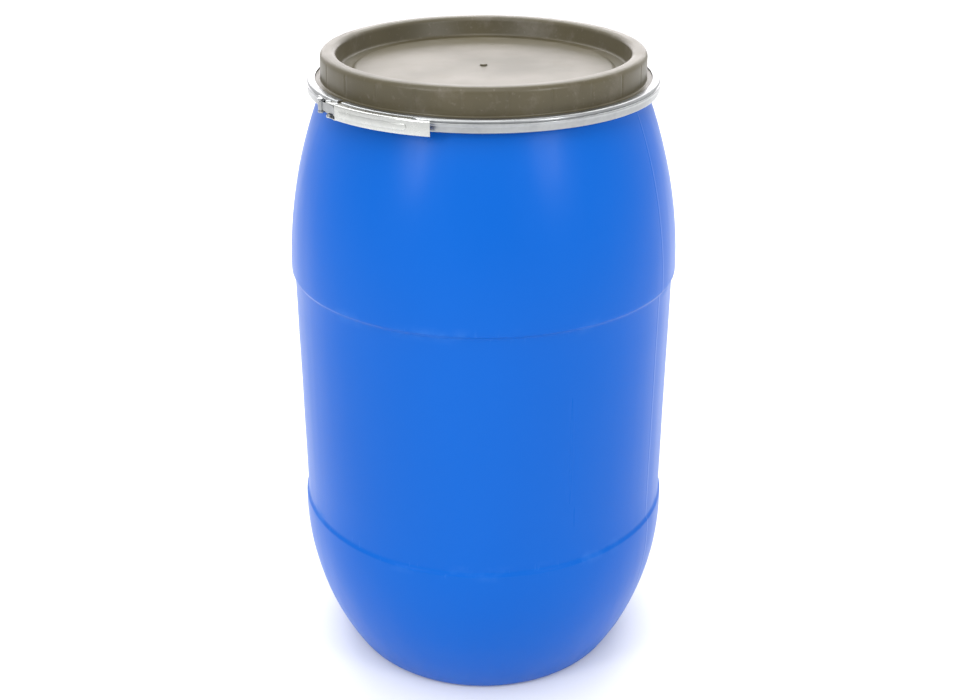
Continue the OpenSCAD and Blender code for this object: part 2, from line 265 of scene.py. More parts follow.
select_none()
bpy.ops.mesh.primitive_plane_add(size=FLOOR_SIZE)
floor = bpy.context.object
floor.name = "floor"
floor_paint = bpy.data.materials.new("pale_floor")
floor_paint.use_nodes = True
floor_shader = floor_paint.node_tree.nodes["Principled BSDF"]
floor_shader.inputs["Base Color"].default_value = (FLOOR_PALE, FLOOR_PALE, FLOOR_PALE, 1)
floor_shader.inputs["Roughness"].default_value = 0.9
floor_shader.inputs["Specular IOR Level"].default_value = 0.1
floor.data.materials.append(floor_paint)
print("floor of", FLOOR_SIZE, "m")

# %% Lights
SUN_STRENGTH = 1.35
SUN_SPREAD = 60
SUN_LEAN, SUN_TURN = 30, -12
BOX_X, BOX_Y, BOX_Z = 1.65, -1.85, 1.85
BOX_SIZE, BOX_POWER = (0.5, 0.9), 16
SHEEN_SIZE, SHEEN_POWER = (4.5, 1.2), 54
SHEEN_TINT = (1.0, 0.95, 0.98)
OVERHEAD_SIZE, OVERHEAD_POWER = (4.0, 2.2), 90


def soft_light(name, place, aim, size, power):
    """A rectangular soft light at place that faces the point aim."""
    select_none()
    bpy.ops.object.light_add(type="AREA", location=place)
    light = bpy.context.object
    light.name = name
    light.data.shape = "RECTANGLE"
    light.data.size, light.data.size_y = size
    light.data.energy = power
    towards = Vector(aim) - Vector(place)
    light.rotation_euler = towards.to_track_quat("-Z", "Y").to_euler()
    return light


select_none()
bpy.ops.object.light_add(type="SUN", location=(0, -2, 4))
sky = bpy.context.object
sky.name = "soft_sun"
sky.data.energy = SUN_STRENGTH
sky.data.angle = math.radians(SUN_SPREAD)
sky.rotation_euler = (math.radians(SUN_LEAN), 0, math.radians(SUN_TURN))

for side in (-1, 1):
    soft_light("shoulder_box", (BOX_X * side, BOX_Y, BOX_Z), (0, 0, 0.85), BOX_SIZE, BOX_POWER)
sheen = soft_light("back_sheen", (0, 4.0, 1.75), (0, 0, 1.0), SHEEN_SIZE, SHEEN_POWER)
sheen.data.color = SHEEN_TINT
soft_light("back_overhead", (0, 2.0, 3.2), (0, 0.9, 0), OVERHEAD_SIZE, OVERHEAD_POWER)

# %% Room
DIM_SIDE, BRIGHT_SIDE = 0.6, 1.05
DIM_BEFORE, BRIGHT_AFTER = -0.4, 0.5

world = bpy.data.worlds.new("white_room")
world.use_nodes = True
room = world.node_tree
way = room.nodes.new("ShaderNodeTexCoord")
way_split = room.nodes.new("ShaderNodeSeparateXYZ")
way_ramp = room.nodes.new("ShaderNodeMapRange")
way_ramp.inputs["From Min"].default_value = DIM_BEFORE
way_ramp.inputs["From Max"].default_value = BRIGHT_AFTER
way_ramp.inputs["To Min"].default_value = DIM_SIDE
way_ramp.inputs["To Max"].default_value = BRIGHT_SIDE
room.links.new(way.outputs["Generated"], way_split.inputs["Vector"])
room.links.new(way_split.outputs["Y"], way_ramp.inputs["Value"])
room.links.new(way_ramp.outputs["Result"], room.nodes["Background"].inputs["Strength"])
room.nodes["Background"].inputs["Color"].default_value = (1, 1, 1, 1)
bpy.context.scene.world = world
bpy.context.scene.view_settings.view_transform = "Standard"

# %% [markdown]
# ## Finishes
#
# Three finishes cover nearly all of the drum: blow-moulded polyethylene, injection-moulded polyethylene
# and galvanised sheet. Each is built from the same few steps: a slow change of colour, a finer change of
# gloss, and a bump at the scale of the real surface. All of them read object coordinates in metres, so a
# pattern has its true size and stays put when a body moves.

# %% Node helpers
def finish(name, colour, roughness, metallic=0.0):
    """A new material, with its node tree and its shader, which keeps plain values until they are linked."""
    material = bpy.data.materials.new(name)
    material.use_nodes = True
    tree = material.node_tree
    shader = tree.nodes["Principled BSDF"]
    shader.inputs["Base Color"].default_value = (*colour, 1)
    shader.inputs["Roughness"].default_value = roughness
    shader.inputs["Metallic"].default_value = metallic
    return material, tree, shader


def noise(tree, scale, stretch=(1, 1, 1), detail=3.0, rough=0.5):
    """Noise on object coordinates. stretch scales the pattern's frequency along each axis."""
    place = tree.nodes.new("ShaderNodeTexCoord")
    mapping = tree.nodes.new("ShaderNodeMapping")
    mapping.inputs["Scale"].default_value = stretch
    texture = tree.nodes.new("ShaderNodeTexNoise")
    texture.inputs["Scale"].default_value = scale
    texture.inputs["Detail"].default_value = detail
    texture.inputs["Roughness"].default_value = rough
    tree.links.new(place.outputs["Object"], mapping.inputs["Vector"])
    tree.links.new(mapping.outputs["Vector"], texture.inputs["Vector"])
    return texture.outputs["Fac"]


def spread(tree, value, low, high, to_low=0.0, to_high=1.0):
    """Stretches the part of value between low and high to the range to_low to to_high."""
    node = tree.nodes.new("ShaderNodeMapRange")
    node.inputs["From Min"].default_value = low
    node.inputs["From Max"].default_value = high
    node.inputs["To Min"].default_value = to_low
    node.inputs["To Max"].default_value = to_high
    tree.links.new(value, node.inputs["Value"])
    return node.outputs["Result"]


def mix_colour(tree, share, first, second):
    """first where share is 0 and second where it is 1. Each is a colour or an output."""
    node = tree.nodes.new("ShaderNodeMix")
    node.data_type = "RGBA"
    tree.links.new(share, node.inputs["Factor"])
    for socket, colour in ((node.inputs[6], first), (node.inputs[7], second)):
        if isinstance(colour, tuple):
            socket.default_value = (*colour, 1)
        else:
            tree.links.new(colour, socket)
    return node.outputs[2]


def maths(tree, a, b, operation="MULTIPLY"):
    """One math node over a and b, each a number or an output."""
    node = tree.nodes.new("ShaderNodeMath")
    node.operation = operation
    for socket, value in zip(node.inputs, (a, b)):
        if isinstance(value, (int, float)):
            socket.default_value = value
        else:
            tree.links.new(value, socket)
    return node.outputs["Value"]


def bumps(tree, shader, layers):
    """Chains bump layers, each (height output, depth in metres, strength), into the shader's normal."""
    previous = None
    for height, depth, strength in layers:
        node = tree.nodes.new("ShaderNodeBump")
        node.inputs["Distance"].default_value = depth
        node.inputs["Strength"].default_value = strength
        tree.links.new(height, node.inputs["Height"])
        if previous:
            tree.links.new(previous, node.inputs["Normal"])
        previous = node.outputs["Normal"]
    tree.links.new(previous, shader.inputs["Normal"])


def height_band(tree, low, high, blur):
    """1 where the object's height is between low and high, falling to 0 over blur, all in metres."""
    place = tree.nodes.new("ShaderNodeTexCoord")
    split = tree.nodes.new("ShaderNodeSeparateXYZ")
    tree.links.new(place.outputs["Object"], split.inputs["Vector"])
    rising = spread(tree, split.outputs["Z"], low - blur, low)
    falling = spread(tree, split.outputs["Z"], high, high + blur, 1.0, 0.0)
    return maths(tree, rising, falling)


# %% [markdown]
# ### Blow-moulded polyethylene
#
# The barrel is blown against a cold mould, which leaves a satin skin with faint upright drag lines and a
# slight orange peel. The blue is dyed through, so a scuff shows as a paler, duller blue and not as
# another colour. Scuffs gather on the two steps and on the foot, where drums rub against each other.

# %% Barrel plastic
BARREL_BLUE = (0.001, 0.109, 0.52)
BARREL_DEEP = (0.001, 0.099, 0.48)
BARREL_SCUFF = (0.07, 0.22, 0.62)
BARREL_SPECULAR = 0.13
BARREL_GLOSS = (0.25, 0.38)
STEP_RUB_BELOW, STEP_RUB_ABOVE, STEP_RUB_BLUR = 0.002, 0.004, 0.012
FOOT_RUB_H, FOOT_RUB_BLUR = 0.02, 0.05


def barrel_plastic(steps):
    """steps are the heights where the wall steps in or out."""
    material, tree, shader = finish("blue_polyethylene", BARREL_BLUE, 0.3)
    waves = noise(tree, 5, (1, 1, 0.35), detail=1)
    slow = spread(tree, waves, 0.2, 0.8)
    drag = noise(tree, 30, (1, 1, 0.04), detail=2)
    peel = noise(tree, 420, detail=2)
    scratches = spread(tree, noise(tree, 130, (1, 1, 0.12), detail=6, rough=0.7), 0.6, 0.72)
    rub = None
    for height in steps:
        band = height_band(tree, height - STEP_RUB_BELOW, height + STEP_RUB_ABOVE, STEP_RUB_BLUR)
        rub = band if rub is None else maths(tree, rub, band, "MAXIMUM")
    foot = height_band(tree, 0.0, FOOT_RUB_H, FOOT_RUB_BLUR)
    rub = maths(tree, rub, foot, "MAXIMUM")
    patches = spread(tree, noise(tree, 18, detail=5), 0.5, 0.75)
    scuff = maths(tree, rub, maths(tree, scratches, patches, "MAXIMUM"))
    body = mix_colour(tree, slow, BARREL_BLUE, BARREL_DEEP)
    faint = maths(tree, scuff, 0.35)
    tree.links.new(mix_colour(tree, faint, body, BARREL_SCUFF), shader.inputs["Base Color"])
    gloss = maths(tree, spread(tree, drag, 0.1, 0.9, *BARREL_GLOSS), maths(tree, scuff, 0.25), "ADD")
    tree.links.new(gloss, shader.inputs["Roughness"])
    bumps(tree, shader, [(drag, 0.0005, 0.12), (waves, 0.004, 0.15), (peel, 0.00008, 0.3)])
    shader.inputs["Specular IOR Level"].default_value = BARREL_SPECULAR
    return material


# %% [markdown]
# ### Injection-moulded polyethylene
#
# The lid is moulded from one gate in its middle. The grey-brown melt freezes as it flows outwards, which
# leaves slow swirls in the colour and gloss. Its skin is duller than the barrel's.

# %% Lid plastic
LID_OLIVE = (0.088, 0.073, 0.037)
LID_DARK = (0.066, 0.055, 0.028)
LID_PALE = (0.24, 0.21, 0.18)
LID_GLOSS = (0.34, 0.42)


def lid_plastic():
    """Swirls from the flow, with small pale specks and smears where the skin is worn."""
    material, tree, shader = finish("olive_polyethylene", LID_OLIVE, 0.36)
    flow = noise(tree, 9, detail=4, rough=0.5)
    swirl = spread(tree, flow, 0.3, 0.7)
    smears = spread(tree, noise(tree, 22, (1, 1.6, 1), detail=7, rough=0.65), 0.54, 0.74)
    speckle = spread(tree, noise(tree, 160, detail=3), 0.62, 0.8)
    grain = noise(tree, 500, detail=2)
    colour = mix_colour(tree, swirl, LID_OLIVE, LID_DARK)
    worn = maths(tree, maths(tree, speckle, 0.3), maths(tree, smears, 0.3), "ADD")
    tree.links.new(mix_colour(tree, worn, colour, LID_PALE), shader.inputs["Base Color"])
    gloss = maths(tree, spread(tree, swirl, 0, 1, *LID_GLOSS), maths(tree, worn, 0.35), "ADD")
    tree.links.new(gloss, shader.inputs["Roughness"])
    bumps(tree, shader, [(flow, 0.0012, 0.2), (grain, 0.00008, 0.5)])
    return material


# %% [markdown]
# ### Galvanised sheet
#
# The ring and lever are rolled from hot-dip galvanised strip. Zinc freezes in flat crystals a few
# millimetres across, and each one reflects a little differently. Cells of a Voronoi pattern stand for
# them, with faint rolling lines along the strip.

# %% Galvanised steel
ZINC_LIGHT = (0.40, 0.41, 0.415)
ZINC_DARK = (0.32, 0.33, 0.34)
BRIGHT_ZINC_LIGHT = (0.60, 0.61, 0.59)
BRIGHT_ZINC_DARK = (0.50, 0.51, 0.50)


def galvanised(name, crystal=220, shine=0.3, light=ZINC_LIGHT, dark=ZINC_DARK):
    """crystal is the number of cells in a metre, and shine the roughness of the smoothest ones."""
    material, tree, shader = finish(name, light, shine, metallic=1.0)
    place = tree.nodes.new("ShaderNodeTexCoord")
    cells = tree.nodes.new("ShaderNodeTexVoronoi")
    cells.inputs["Scale"].default_value = crystal
    tree.links.new(place.outputs["Object"], cells.inputs["Vector"])
    to_grey = tree.nodes.new("ShaderNodeRGBToBW")
    tree.links.new(cells.outputs["Color"], to_grey.inputs["Color"])
    crystals = to_grey.outputs["Val"]
    stain = spread(tree, noise(tree, 35, detail=5), 0.45, 0.75)
    shade = maths(tree, spread(tree, crystals, 0, 1, 0, 0.5), maths(tree, stain, 0.5), "ADD")
    tree.links.new(mix_colour(tree, shade, light, dark), shader.inputs["Base Color"])
    gloss = maths(tree, spread(tree, crystals, 0, 1, shine, shine + 0.03), maths(tree, stain, 0.08), "ADD")
    tree.links.new(gloss, shader.inputs["Roughness"])
    rolling = noise(tree, 300, (0.2, 0.2, 3), detail=2)
    bumps(tree, shader, [(rolling, 0.00002, 0.06)])
    return material


# %% Rubber
RUBBER_DARK = (0.015, 0.015, 0.015)
RUBBER_LIGHT = (0.04, 0.04, 0.04)


def gasket_rubber():
    """Dull black foam rubber with fine pores."""
    material, tree, shader = finish("black_rubber", RUBBER_DARK, 0.7)
    cells = noise(tree, 900, detail=2)
    colour = mix_colour(tree, cells, RUBBER_DARK, RUBBER_LIGHT)
    tree.links.new(colour, shader.inputs["Base Color"])
    tree.links.new(spread(tree, cells, 0.3, 0.7, 0.6, 0.8), shader.inputs["Roughness"])
    bumps(tree, shader, [(cells, 0.0002, 0.6)])
    return material


# %% [markdown]
# ## The barrel
#
# The barrel could be a cylinder with loops scaled by eye, but its wall is two long arcs with a straight
# band between them, so it is drawn as a half section and spun. The section is closed: it runs up the
# outside, over the clamping rim, and down the inside, a wall's thickness away. That makes the inside real
# when the lid comes off.

# %% Barrel sizes
barrel_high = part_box("barrel_body")[1]
BELLY_R = barrel_high.x
BARREL_H = barrel_high.z
UPPER_STEP_Z = BARREL_H - 0.284
LOWER_STEP_Z = 0.2655
WAIST_R = BELLY_R - 0.0047
FOOT_R = WAIST_R + 0.0039
FOOT_CURVE_R = 0.451
FOOT_CURVE_Z = 0.2417
CORNER_R = 0.020
WALL = 0.004
BASE_HOLLOW = 0.009
BASE_RING = 0.028
MOUTH_R = 0.230
NECK_R = MOUTH_R + 0.008
RIM_R = MOUTH_R + 0.020
RIM_UNDER_Z = BARREL_H - 0.0094
RIM_SLOPE = math.tan(math.radians(18))
NECK_Z = RIM_UNDER_Z - (RIM_R - NECK_R) * RIM_SLOPE
SHOULDER_FOOT_Z = UPPER_STEP_Z - 0.007
STEP_H = 0.005
STEP_OUT_SOFT = 0.0022
STEP_IN_SOFT = 0.003
BASE_SOFT = 0.004
BASE_SLOPE_W = 0.010
WAIST_ROWS = 8
CORNER_GAP, FOOT_TOP_GAP, SHOULDER_GAP = 1.5, 0.4, 0.5
RIM_SOFT = 0.002
RIM_LIP_SOFT = 0.0025
NECK_IN_Z = NECK_Z - 0.008
print("belly radius", round(BELLY_R, 4), "barrel height", round(BARREL_H, 4))

# %% Barrel section
def wall_line(inset, steps):
    """The wall's line from the floor to the neck, moved in by inset from the outer face. steps is the
    number of pieces in each of its two long arcs. Each arc stops a little short of the next corner, to
    leave room for its bend; the gaps are in degrees."""
    foot = (FOOT_R - FOOT_CURVE_R, FOOT_CURVE_Z)
    reach = FOOT_CURVE_R - CORNER_R
    corner_x = foot[0] + math.sqrt(reach ** 2 - (FOOT_CURVE_Z - CORNER_R) ** 2)
    tangent = math.degrees(math.atan2(CORNER_R - FOOT_CURVE_Z, corner_x - foot[0]))
    foot_top = math.degrees(math.asin((LOWER_STEP_Z - STEP_H / 2 - FOOT_CURVE_Z) / FOOT_CURVE_R))
    rise = NECK_Z - SHOULDER_FOOT_Z
    drop = BELLY_R - NECK_R
    curve_r = (rise ** 2 + drop ** 2) / (2 * drop)
    shoulder = (BELLY_R - curve_r, SHOULDER_FOOT_Z)
    low = math.degrees(math.asin((UPPER_STEP_Z + STEP_H / 2 - SHOULDER_FOOT_Z) / curve_r))
    high = math.degrees(math.asin(rise / curve_r))
    ring_in = corner_x - BASE_RING
    line = [(0.0, BASE_HOLLOW + inset, 0), (ring_in - BASE_SLOPE_W, BASE_HOLLOW + inset, BASE_SOFT)]
    line += [(ring_in, inset, BASE_SOFT)]
    line += arc((corner_x, CORNER_R), CORNER_R - inset, -90, tangent, 7)
    line += arc(foot, FOOT_CURVE_R - inset, tangent + CORNER_GAP, foot_top - FOOT_TOP_GAP, steps)
    edge = arc(foot, FOOT_CURVE_R - inset, foot_top, foot_top, 1)[0]
    line += [(*edge[:2], STEP_OUT_SOFT)]
    waist_low, waist_high = LOWER_STEP_Z + STEP_H / 2, UPPER_STEP_Z - STEP_H / 2
    row_h = (waist_high - waist_low) / WAIST_ROWS
    line += [(WAIST_R - inset, waist_low, STEP_IN_SOFT)]
    line += [(WAIST_R - inset, waist_low + row_h * k, 0) for k in range(1, WAIST_ROWS)]
    line += [(WAIST_R - inset, waist_high, STEP_IN_SOFT)]
    edge = arc(shoulder, curve_r - inset, low, low, 1)[0]
    line += [(*edge[:2], STEP_OUT_SOFT)]
    line += arc(shoulder, curve_r - inset, low + SHOULDER_GAP, high, steps)
    return line


outside = wall_line(0.0, 18)
rim = [
    (NECK_R, NECK_Z + 0.0005, RIM_SOFT), (RIM_R, RIM_UNDER_Z, RIM_LIP_SOFT), (RIM_R, BARREL_H, RIM_SOFT),
    (MOUTH_R, BARREL_H, RIM_SOFT), (MOUTH_R, NECK_IN_Z, 2 * RIM_SOFT),
]
inside = wall_line(WALL, 12)[::-1]
barrel_section = soften(outside + rim + inside, steps=3)
barrel = turn_section("barrel", barrel_section, columns=240)

# %% [markdown]
# ### Parting line and mould waves
#
# The mould is two halves, and the plastic creeps a little way between them. That leaves a fine upright
# ridge on two opposite sides. Three cuts through the axis make a narrow strip there, and its middle edge
# is pushed out. The blown wall is also never quite even. A Displace modifier with slow clouds moves it by
# a few tenths of a millimetre, which is what makes long reflections in such a wall wander. A vertex group
# keeps the rim and the floor ring true.

# %% Parting line
PARTING_ANGLE = 62.0
RIDGE_W = 0.0022
RIDGE_OUT = 0.0003
RIDGE_IN_R = 0.19
RIDGE_LOW_Z, RIDGE_HIGH_Z = 0.004, NECK_Z - 0.01
across_parting = round_the_drum(1, PARTING_ANGLE + 90)


def on_ridge(vertex):
    """True for the middle points of the strip, on the outside of the wall."""
    flat_r = math.hypot(vertex.co.x, vertex.co.y)
    on_line = abs(vertex.co.dot(across_parting)) < 1e-5 and flat_r > RIDGE_IN_R
    outer = vertex.normal.x * vertex.co.x + vertex.normal.y * vertex.co.y > 0
    return on_line and outer and RIDGE_LOW_Z < vertex.co.z < RIDGE_HIGH_Z


edit(barrel)
for side in (-1, 0, 1):
    bpy.ops.mesh.select_all(action="SELECT")
    bpy.ops.mesh.bisect(plane_co=across_parting * side * RIDGE_W / 2, plane_no=across_parting)
done()
ridge_count = pick(barrel, "VERT", on_ridge)
bpy.ops.transform.shrink_fatten(value=RIDGE_OUT)
done()
print("ridge points:", ridge_count)

# %% Mould waves
WAVE_SIZE = 0.09
WAVE_DEPTH = 0.0009
WAVE_LOW_Z, WAVE_LOW_FADE = 0.03, 0.06
WAVE_HIGH_Z, WAVE_HIGH_FADE = NECK_Z - 0.02, 0.05


def within_0_1(value):
    """value, kept between 0 and 1."""
    return min(1.0, max(0.0, value))


clouds = bpy.data.textures.new("mould_waves", "CLOUDS")
clouds.noise_scale = WAVE_SIZE
wavy = barrel.vertex_groups.new(name="wavy")
for vertex in barrel.data.vertices:
    rising = within_0_1((vertex.co.z - WAVE_LOW_Z) / WAVE_LOW_FADE)
    falling = within_0_1((WAVE_HIGH_Z - vertex.co.z) / WAVE_HIGH_FADE)
    wavy.add([vertex.index], rising * falling, "REPLACE")
apply_modifier(barrel, "DISPLACE", texture=clouds, texture_coords="LOCAL", strength=WAVE_DEPTH,
               mid_level=0.75, vertex_group="wavy")
barrel.vertex_groups.clear()
settle(barrel)
barrel.data.materials.append(barrel_plastic((LOWER_STEP_Z, UPPER_STEP_Z)))
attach(barrel, "barrel")
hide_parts("barrel_body")

# %% [markdown]
# ## The lid
#
# The lid is one thin moulding that goes up and over a hollow rim. It is turned like the barrel, from a
# closed section with the wall's thickness in it. Its flange lies over the gasket, and a plug below keeps
# it central in the mouth.

# %% Lid section
CREST_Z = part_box("lid")[1].z
LID_WALL = 0.0032
FLANGE_Z = CREST_Z - 0.0385
FLANGE_UNDER_Z = FLANGE_Z - LID_WALL
PANEL_Z = CREST_Z - 0.0288
DISC_H = 0.0025
LID_OUT_R = MOUTH_R + 0.0067
LID_IN_R = LID_OUT_R - 0.0237
FLANGE_R = RIM_R + 0.001
PLUG_R = MOUTH_R - 0.0006
PANEL_R = LID_IN_R - 0.003
DISC_R = PANEL_R - 0.019
DISC_TOP_Z = PANEL_Z + DISC_H
DISC_SLOPE_W = 0.004
ROUND = 0.008
DRAFT = 0.0007
SKIRT_H = 0.0305
PLUG_FOOT_Z = FLANGE_UNDER_Z - 0.022
INNER_LEAN, OUTER_LEAN = 172, 3
PANEL_SOFT = 0.002
DISC_SOFT = 0.003
SKIRT_SOFT = 0.0018
EDGE_SOFT = 0.001
PLUG_SOFT = 0.0015

rim_in = (LID_IN_R + ROUND, CREST_Z - ROUND)
rim_out = (LID_OUT_R - DRAFT - ROUND, CREST_Z - ROUND)
lid_top = [(reach, DISC_TOP_Z, 0) for reach in (0, 0.06, 0.12)]
lid_top += [(DISC_R - DISC_SLOPE_W, DISC_TOP_Z, DISC_SOFT), (DISC_R, PANEL_Z, PANEL_SOFT)]
lid_top += [(PANEL_R, PANEL_Z, 2 * PANEL_SOFT)]
lid_top += arc(rim_in, ROUND, INNER_LEAN, 90, 8) + arc(rim_out, ROUND, 90, OUTER_LEAN, 8)
for share in (0.9, 0.6, 0.25):
    lid_top += [(LID_OUT_R - DRAFT * share, CREST_Z - ROUND - SKIRT_H * (1 - share), 0)]
lid_top += [(LID_OUT_R, FLANGE_Z, SKIRT_SOFT)]
lid_edge = [
    (FLANGE_R, FLANGE_Z, EDGE_SOFT), (FLANGE_R, FLANGE_UNDER_Z, EDGE_SOFT),
    (PLUG_R, FLANGE_UNDER_Z, EDGE_SOFT), (PLUG_R, PLUG_FOOT_Z, PLUG_SOFT),
    (PLUG_R - LID_WALL, PLUG_FOOT_Z, PLUG_SOFT),
    (PLUG_R - LID_WALL, FLANGE_Z, EDGE_SOFT), (LID_OUT_R - LID_WALL, FLANGE_Z, EDGE_SOFT),
]
lid_under = arc(rim_out, ROUND - LID_WALL, OUTER_LEAN, 90, 5)
lid_under += arc(rim_in, ROUND - LID_WALL, 90, INNER_LEAN, 5)
panel_under_z, disc_under_z = PANEL_Z - LID_WALL, PANEL_Z - LID_WALL + DISC_H
lid_under += [(PANEL_R + LID_WALL, panel_under_z, PANEL_SOFT), (DISC_R - 0.001, panel_under_z, PANEL_SOFT)]
lid_under += [(DISC_R - 0.001 - DISC_SLOPE_W, disc_under_z, PANEL_SOFT), (0, disc_under_z, 0)]
lid = turn_section("lid_moulding", soften(lid_top + lid_edge + lid_under, steps=3), columns=288)

# %% [markdown]
# ### Gussets and sink marks
#
# Inside the hollow rim, gussets tie the outer wall to the inner one. Where each gusset meets the skirt
# the thicker plastic shrinks more as it cools, and a fine upright sink mark shows outside. Two cuts
# through the lid, one each side of a gusset, make a narrow strip of skirt. Its middle edge already
# exists, because the section was spun in 288 columns, and its points are drawn in.

# %% Sink marks
GUSSETS = 24
SINK_W = 0.0022
SINK = 0.0005
SINK_LOW_Z, SINK_HIGH_Z = FLANGE_Z + 0.004, CREST_Z - 0.006
SKIRT_IN_R, SKIRT_OUT_R = LID_OUT_R - 0.0012, LID_OUT_R + 0.0004
pitch = 360 / GUSSETS


def on_sink(vertex):
    """True for the skirt's points that stand in front of the middle of a gusset."""
    turn = (angle_of(vertex.co) - pitch / 2) % pitch
    on_line = min(turn, pitch - turn) < 0.05
    on_skirt = SKIRT_IN_R < math.hypot(vertex.co.x, vertex.co.y) < SKIRT_OUT_R
    return on_line and on_skirt and SINK_LOW_Z < vertex.co.z < SINK_HIGH_Z


edit(lid)
for k in range(GUSSETS // 2):
    across = round_the_drum(1, (k + 0.5) * pitch + 90)
    for side in (-1, 1):
        bpy.ops.mesh.select_all(action="SELECT")
        bpy.ops.mesh.bisect(plane_co=across * side * SINK_W / 2, plane_no=across)
done()
print("sink mark points:", pick(lid, "VERT", on_sink))
bpy.ops.transform.shrink_fatten(value=-SINK)
done()
settle(lid, sharp=40)

# %% Gussets
GUSSET_T = 0.002
GUSSET_ROUND = 0.0045
GUSSET_SUNK = LID_WALL * 0.8


def gusset_ring():
    """One gusset, a block with its two top corners bevelled, is copied round the rim, and all are joined."""
    high = CREST_Z - GUSSET_SUNK
    first = block(LID_IN_R + GUSSET_SUNK, LID_OUT_R - GUSSET_SUNK, -GUSSET_T / 2, GUSSET_T / 2, PANEL_Z, high)
    bevel_edges(first, lambda a, b: abs(a.y - b.y) > GUSSET_T / 2 and a.z > high - 1e-4, GUSSET_ROUND, 3)
    ring_of = [first]
    for k in range(1, GUSSETS):
        copy = first.copy()
        copy.data = first.data.copy()
        bpy.context.collection.objects.link(copy)
        ring_of.append(copy)
    only(first)
    for k, copy in enumerate(ring_of):
        copy.rotation_euler.z = math.radians((k + 0.5) * pitch - 90)
        copy.select_set(True)
    bpy.ops.object.join()
    first.name = first.data.name = "lid_gussets"
    return settle(first)


gussets = gusset_ring()

# %% [markdown]
# ### Gate mark
#
# The melt enters through one gate in the middle of the lid. Where the sprue is cut off, a short nub
# stands with a dimple in its top. It starts as a cylinder, and its top is inset and pushed down.

# %% Gate mark
GATE_R, GATE_H, GATE_UP = 0.005, 0.004, 0.0002
GATE_EDGE = 0.0006
GATE_LIP = 0.0014
GATE_DIMPLE = 0.0008

select_none()
bpy.ops.mesh.primitive_cylinder_add(vertices=40, radius=GATE_R, depth=GATE_H,
                                    location=(0, 0, DISC_TOP_Z + GATE_UP))
gate = bpy.context.object
gate.name = gate.data.name = "lid_gate_mark"
pick(gate, "FACE", lambda face: face.normal.z > 0.9)
bpy.ops.mesh.bevel(offset=GATE_EDGE, segments=2)
bpy.ops.mesh.inset(thickness=GATE_LIP)
bpy.ops.transform.translate(value=(0, 0, -GATE_DIMPLE))
done()
settle(gate)

# %% Lid finish
olive = lid_plastic()
for piece in (lid, gussets, gate):
    piece.data.materials.append(olive)
    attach(piece, "lid")
    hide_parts("lid")

# %% [markdown]
# ## The closing ring
#
# On the real drum the band is one springy strip. Its section is a C with a bead rolled into the web, and
# its hook grips under the barrel's rim. The CAD has it as two halves, hinged at the back. Here the whole
# strip is one piece, spun from one end of the split to the other, and it runs on unbroken across the hinge.
# On the inner side of a bend the corners sit a few tenths of a millimetre lower, which keeps the sheet
# about as thick in the bend as beside it.

# %% Ring section
SHEET = 0.0013
RING_IN_R = RIM_R + 0.005
WEB_R = RING_IN_R + SHEET
BEAD_R = WEB_R + 0.0009
RING_TOP_Z = FLANGE_Z + 0.0003 + SHEET
HOOK_FOOT_Z = RIM_UNDER_Z + (WEB_R - RIM_R) * RIM_SLOPE - 0.0003 - 1.4 * SHEET
HOOK_R = RIM_R - 0.007
HOOK_END_Z = HOOK_FOOT_Z - (WEB_R - HOOK_R) * RIM_SLOPE
TOP_IN_R = WEB_R - 0.0116
GROOVE_R = WEB_R - 0.0016
GROOVE_Z = RING_TOP_Z - 0.0044
BEAD_TOP_Z = RING_TOP_Z - 0.0056
BEAD_LOW_Z = RING_TOP_Z - 0.0073
WEB_TOP_Z = RING_TOP_Z - 0.0090
SHEET_SOFT = 0.0004
GROOVE_SOFT = 0.0005
BEAD_SOFT = 0.0006
BEND_SOFT = 0.0008
WEB_SOFT = 0.0010
HOOK_SOFT = 0.0016

SHOULDER = 0.0034
SHOULDER_IN = 0.0004
shoulder_at = (WEB_R - SHOULDER_IN - SHOULDER, RING_TOP_Z - SHOULDER)

ring_outer = [(TOP_IN_R, RING_TOP_Z, SHEET_SOFT)] + arc(shoulder_at, SHOULDER, 90, 0, 6)
ring_outer += [
    (GROOVE_R, GROOVE_Z, GROOVE_SOFT), (BEAD_R, BEAD_TOP_Z, BEAD_SOFT), (BEAD_R, BEAD_LOW_Z, BEND_SOFT),
    (WEB_R, WEB_TOP_Z, WEB_SOFT), (WEB_R, HOOK_FOOT_Z, HOOK_SOFT), (HOOK_R, HOOK_END_Z, SHEET_SOFT),
]
ring_inner = [
    (HOOK_R, HOOK_END_Z + 1.05 * SHEET, SHEET_SOFT),
    (RING_IN_R, HOOK_FOOT_Z + 0.8 * SHEET, BEND_SOFT), (RING_IN_R, WEB_TOP_Z - 0.0004, BEND_SOFT),
    (BEAD_R - SHEET, BEAD_LOW_Z - 0.0003, BEAD_SOFT), (BEAD_R - SHEET, BEAD_TOP_Z - 0.0006, BEAD_SOFT),
    (GROOVE_R - SHEET, GROOVE_Z - 0.0002, GROOVE_SOFT),
]
ring_inner += arc(shoulder_at, SHOULDER - SHEET, 0, 90, 4) + [(TOP_IN_R, RING_TOP_Z - SHEET, SHEET_SOFT)]

SPLIT_AT = -52.0
SPLIT_GAP = 0.010
PIVOT_R = BEAD_R + 0.0059
SPLIT_HALF = math.degrees(SPLIT_GAP / 2 / PIVOT_R)
ring = turn_section("ring_band", soften(ring_outer + ring_inner, steps=3, closed=True), columns=238,
                    sweep=360 - 2 * SPLIT_HALF, start=SPLIT_AT + SPLIT_HALF)
settle(ring)
print("the band's gap is at", SPLIT_AT, "degrees and", round(2 * SPLIT_HALF, 2), "degrees wide")

# %% Ring finish
zinc = galvanised("galvanised_steel")
ring.data.materials.append(zinc)
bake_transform(ring)
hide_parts("ring_band_right", "ring_band_left")

